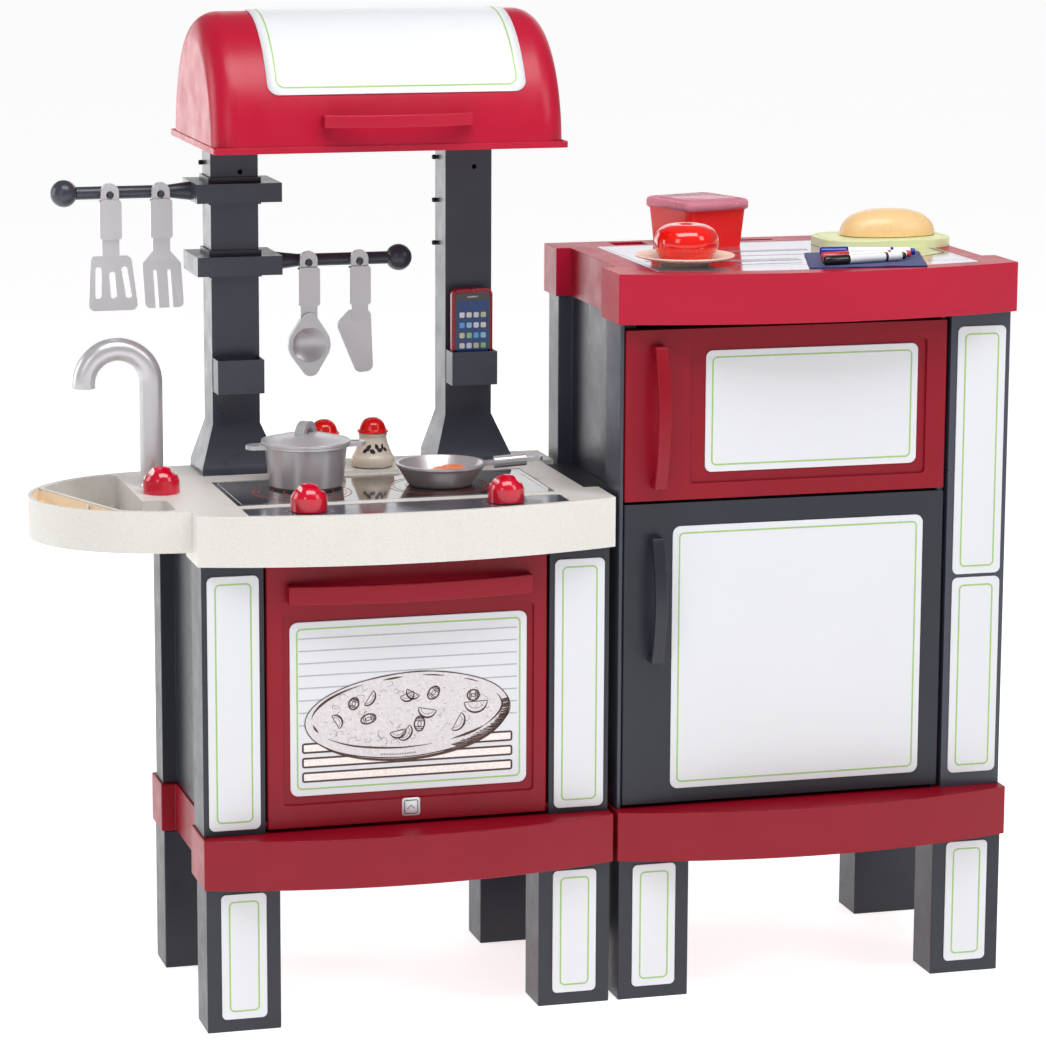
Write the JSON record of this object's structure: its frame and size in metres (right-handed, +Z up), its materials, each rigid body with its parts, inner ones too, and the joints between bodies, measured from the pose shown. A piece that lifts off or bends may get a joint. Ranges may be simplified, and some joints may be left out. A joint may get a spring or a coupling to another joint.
{
  "type": "toy kitchen",
  "caption": "Toy play kitchen: hob unit with sink wing, tall fridge unit, hood on posts with utensil rails, opening doors and loose pans, food and markers.",
  "frame": {"origin": "on the floor, under the middle of the whole kitchen", "axes": "+Z up; +X to the right as seen from the front, from the sink to the fridge; -Y out of the front"},
  "size_m": [0.9636, 0.3305, 0.9713],
  "materials": {
    "anthracite": "satin moulded",
    "red": "satin moulded",
    "bright_red": "glossy moulded",
    "cream": "satin moulded",
    "black_glass": "glossy printed panel",
    "grey_silver": "satin strip",
    "black_pin": "matt moulded",
    "board_white": "dry-erase face with a printed border",
    "mirror_silver": "reflective film",
    "silver": "silver-painted moulding",
    "phone_red": "satin moulded",
    "steak_orange": "satin moulded",
    "shaker_cream": "satin, with a red cap",
    "box_red": "glossy moulded",
    "lid_pink": "translucent",
    "plate_tan": "satin moulded",
    "tomato_red": "glossy moulded",
    "board_green": "satin moulded",
    "bread_tan": "matt moulded",
    "navy_cloth": "flannel cloth",
    "marker_white": "glossy barrel, coloured cap"
  },
  "bodies": {
    "kitchen": {"hob_unit_legs": "anthracite", "hob_unit_base": "red", "hob_side_left": "anthracite", "hob_side_right": "anthracite", "hob_back_panel": "anthracite", "worktop": "cream", "hob_panel": "black_glass", "control_strip": "grey_silver", "sink": "cream", "post_left": "anthracite", "post_right": "anthracite", "post_snap_pins": "black_pin", "rail_upper": "anthracite", "rail_lower": "anthracite", "hood": "red", "hood_handle": "red", "hood_board": "board_white", "dry_erase_boards": "board_white", "fridge_unit_legs": "anthracite", "fridge_unit_base": "red", "fridge_side_left": "anthracite", "fridge_side_right": "anthracite", "fridge_back_panel": "anthracite", "mid_shelf": "anthracite", "fridge_shelf": "anthracite", "fridge_top": "red", "top_panel": "mirror_silver", "module_link": "black_pin"},
    "oven_door": {"oven_door": "red", "oven_door_handle": "red", "oven_door_board": "board_white"},
    "upper_door": {"upper_door": "red", "upper_door_handle": "red", "upper_door_board": "board_white"},
    "fridge_door": {"fridge_door": "anthracite", "fridge_door_handle": "anthracite", "fridge_door_board": "board_white"},
    "hob_knob_left": {"hob_knob_left": "bright_red"},
    "hob_knob_right": {"hob_knob_right": "bright_red"},
    "faucet": {"faucet": "silver"},
    "faucet_knob": {"faucet_knob": "bright_red"},
    "spatula": {"spatula": "silver"},
    "fork": {"fork": "silver"},
    "spoon": {"spoon": "silver"},
    "knife": {"knife": "silver"},
    "phone": {"phone": "phone_red"},
    "pot": {"pot": "silver"},
    "pot_lid": {"pot_lid": "silver"},
    "pan": {"pan": "silver"},
    "steak": {"steak": "steak_orange"},
    "salt_shaker": {"salt_shaker": "shaker_cream"},
    "pepper_shaker": {"pepper_shaker": "shaker_cream"},
    "food_box": {"food_box": "box_red"},
    "food_box_lid": {"food_box_lid": "lid_pink"},
    "plate": {"plate": "plate_tan"},
    "tomato": {"tomato": "tomato_red"},
    "cutting_board": {"cutting_board": "board_green"},
    "bread": {"bread": "bread_tan"},
    "eraser_cloth": {"eraser_cloth": "navy_cloth"},
    "markers": {"markers": "marker_white"}
  },
  "joints": [
    {"name": "oven_door_hinge", "type": "hinge", "parent": "kitchen", "child": "oven_door", "pos_m": [-0.13775, -0.11525, 0.201], "axis": [1, 0, 0], "range_deg": [0, 90]},
    {"name": "upper_door_hinge", "type": "hinge", "parent": "kitchen", "child": "upper_door", "pos_m": [0.40775, -0.11525, 0.585], "axis": [0, 0, 1], "range_deg": [0, 95]},
    {"name": "fridge_door_hinge", "type": "hinge", "parent": "kitchen", "child": "fridge_door", "pos_m": [0.40775, -0.11525, 0.347], "axis": [0, 0, 1], "range_deg": [0, 95]},
    {"name": "hob_knob_left_turn", "type": "hinge", "parent": "kitchen", "child": "hob_knob_left", "pos_m": [-0.23475, -0.12125, 0.508], "axis": [0, 0, 1], "range_deg": [-150, 150]},
    {"name": "hob_knob_right_turn", "type": "hinge", "parent": "kitchen", "child": "hob_knob_right", "pos_m": [-0.04075, -0.12125, 0.508], "axis": [0, 0, 1], "range_deg": [-150, 150]},
    {"name": "faucet_knob_turn", "type": "hinge", "parent": "kitchen", "child": "faucet_knob", "pos_m": [-0.35325, 0.00575, 0.508], "axis": [0, 0, 1], "range_deg": [-120, 120]},
    {"name": "faucet_swivel", "type": "hinge", "parent": "kitchen", "child": "faucet", "pos_m": [-0.35525, 0.04575, 0.508], "axis": [0, 0, 1], "range_deg": [-45, 45]},
    {"name": "spatula_off_peg", "type": "slide", "parent": "kitchen", "child": "spatula", "axis": [0, -1, 0], "range_m": [0, 0.06]},
    {"name": "fork_off_peg", "type": "slide", "parent": "kitchen", "child": "fork", "axis": [0, -1, 0], "range_m": [0, 0.06]},
    {"name": "spoon_off_peg", "type": "slide", "parent": "kitchen", "child": "spoon", "axis": [0, -1, 0], "range_m": [0, 0.06]},
    {"name": "knife_off_peg", "type": "slide", "parent": "kitchen", "child": "knife", "axis": [0, -1, 0], "range_m": [0, 0.06]},
    {"name": "phone_out", "type": "slide", "parent": "kitchen", "child": "phone", "axis": [0, 0, 1], "range_m": [0, 0.12]},
    {"name": "pot_lift", "type": "slide", "parent": "kitchen", "child": "pot", "axis": [0, 0, 1], "range_m": [0, 0.12]},
    {"name": "pan_lift", "type": "slide", "parent": "kitchen", "child": "pan", "axis": [0, 0, 1], "range_m": [0, 0.1]},
    {"name": "salt_shaker_lift", "type": "slide", "parent": "kitchen", "child": "salt_shaker", "axis": [0, 0, 1], "range_m": [0, 0.1]},
    {"name": "pepper_shaker_lift", "type": "slide", "parent": "kitchen", "child": "pepper_shaker", "axis": [0, 0, 1], "range_m": [0, 0.1]},
    {"name": "food_box_lift", "type": "slide", "parent": "kitchen", "child": "food_box", "axis": [0, 0, 1], "range_m": [0, 0.12]},
    {"name": "plate_lift", "type": "slide", "parent": "kitchen", "child": "plate", "axis": [0, 0, 1], "range_m": [0, 0.1]},
    {"name": "cutting_board_lift", "type": "slide", "parent": "kitchen", "child": "cutting_board", "axis": [0, 0, 1], "range_m": [0, 0.1]},
    {"name": "eraser_cloth_lift", "type": "slide", "parent": "kitchen", "child": "eraser_cloth", "axis": [0, 0, 1], "range_m": [0, 0.1]},
    {"name": "pot_lid_lift", "type": "slide", "parent": "pot", "child": "pot_lid", "axis": [0, 0, 1], "range_m": [0, 0.06]},
    {"name": "steak_lift", "type": "slide", "parent": "pan", "child": "steak", "axis": [0, 0, 1], "range_m": [0, 0.06]},
    {"name": "food_box_lid_lift", "type": "slide", "parent": "food_box", "child": "food_box_lid", "axis": [0, 0, 1], "range_m": [0, 0.06]},
    {"name": "tomato_lift", "type": "slide", "parent": "plate", "child": "tomato", "axis": [0, 0, 1], "range_m": [0, 0.06]},
    {"name": "bread_lift", "type": "slide", "parent": "cutting_board", "child": "bread", "axis": [0, 0, 1], "range_m": [0, 0.06]},
    {"name": "markers_lift", "type": "slide", "parent": "eraser_cloth", "child": "markers", "axis": [0, 0, 1], "range_m": [0, 0.06]}
  ]
}
